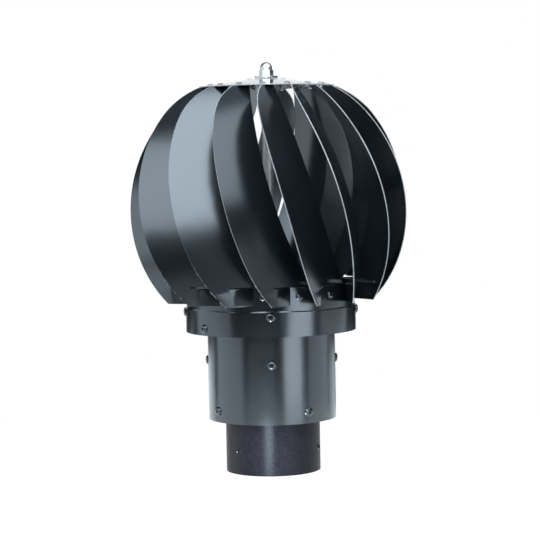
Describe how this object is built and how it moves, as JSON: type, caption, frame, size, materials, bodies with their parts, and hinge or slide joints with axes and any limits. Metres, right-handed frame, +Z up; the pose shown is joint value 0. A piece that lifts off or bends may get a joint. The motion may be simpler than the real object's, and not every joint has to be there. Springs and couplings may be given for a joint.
{
  "type": "turbine roof vent",
  "caption": "Wind-driven turbine roof vent: a globe of overlapping curved black blades turns on a spindle above a stepped round base with a duct spigot.",
  "frame": {"origin": "centre of the spigot's lower rim, on the spindle's axis", "axes": "+Z up along the spindle, -Y towards the picture's viewer, +X to the viewer's right"},
  "size_m": [0.2896, 0.2906, 0.4314],
  "materials": {
    "black_paint": "satin gloss black",
    "powder_coat": "fine textured black powder coat",
    "galvanised": "bright galvanised sheet",
    "zinc_plate": "bright zinc plate",
    "bush_plastic": "matt natural acetal"
  },
  "bodies": {
    "base": {"spigot": "powder_coat", "reducer": "black_paint", "body_tube": "black_paint", "base_strap_upper": "black_paint", "base_strap_lower": "black_paint", "reducer_rivets": "black_paint", "base_strap_rivets": "black_paint", "shaft": "zinc_plate", "shaft_washer_upper": "zinc_plate", "shaft_washer_lower": "zinc_plate", "shaft_nut": "zinc_plate", "thrust_washer": "bush_plastic", "cap_washer": "zinc_plate", "cap_nut": "zinc_plate"},
    "rotor": {"blade_01": "black_paint", "blade_02": "black_paint", "blade_03": "black_paint", "blade_04": "black_paint", "blade_05": "black_paint", "blade_06": "black_paint", "blade_07": "black_paint", "blade_08": "black_paint", "blade_09": "black_paint", "blade_10": "black_paint", "blade_11": "black_paint", "blade_12": "black_paint", "blade_13": "black_paint", "blade_14": "black_paint", "blade_15": "black_paint", "bush_clip": "zinc_plate", "collar": "black_paint", "collar_rivets": "black_paint", "crown": "black_paint", "crown_rivets": "black_paint", "guide_bush": "bush_plastic", "hub": "galvanised", "hub_rivets": "zinc_plate", "rotor_ring": "black_paint", "rotor_strap_lower": "black_paint", "rotor_strap_upper": "black_paint", "seam_rivet": "black_paint", "tab_rivets": "black_paint", "top_bush": "bush_plastic"}
  },
  "joints": [
    {"name": "rotor_spin", "type": "hinge", "parent": "base", "child": "rotor", "pos_m": [0, 0, 0.2], "axis": [0, 0, 1], "continuous": true}
  ]
}
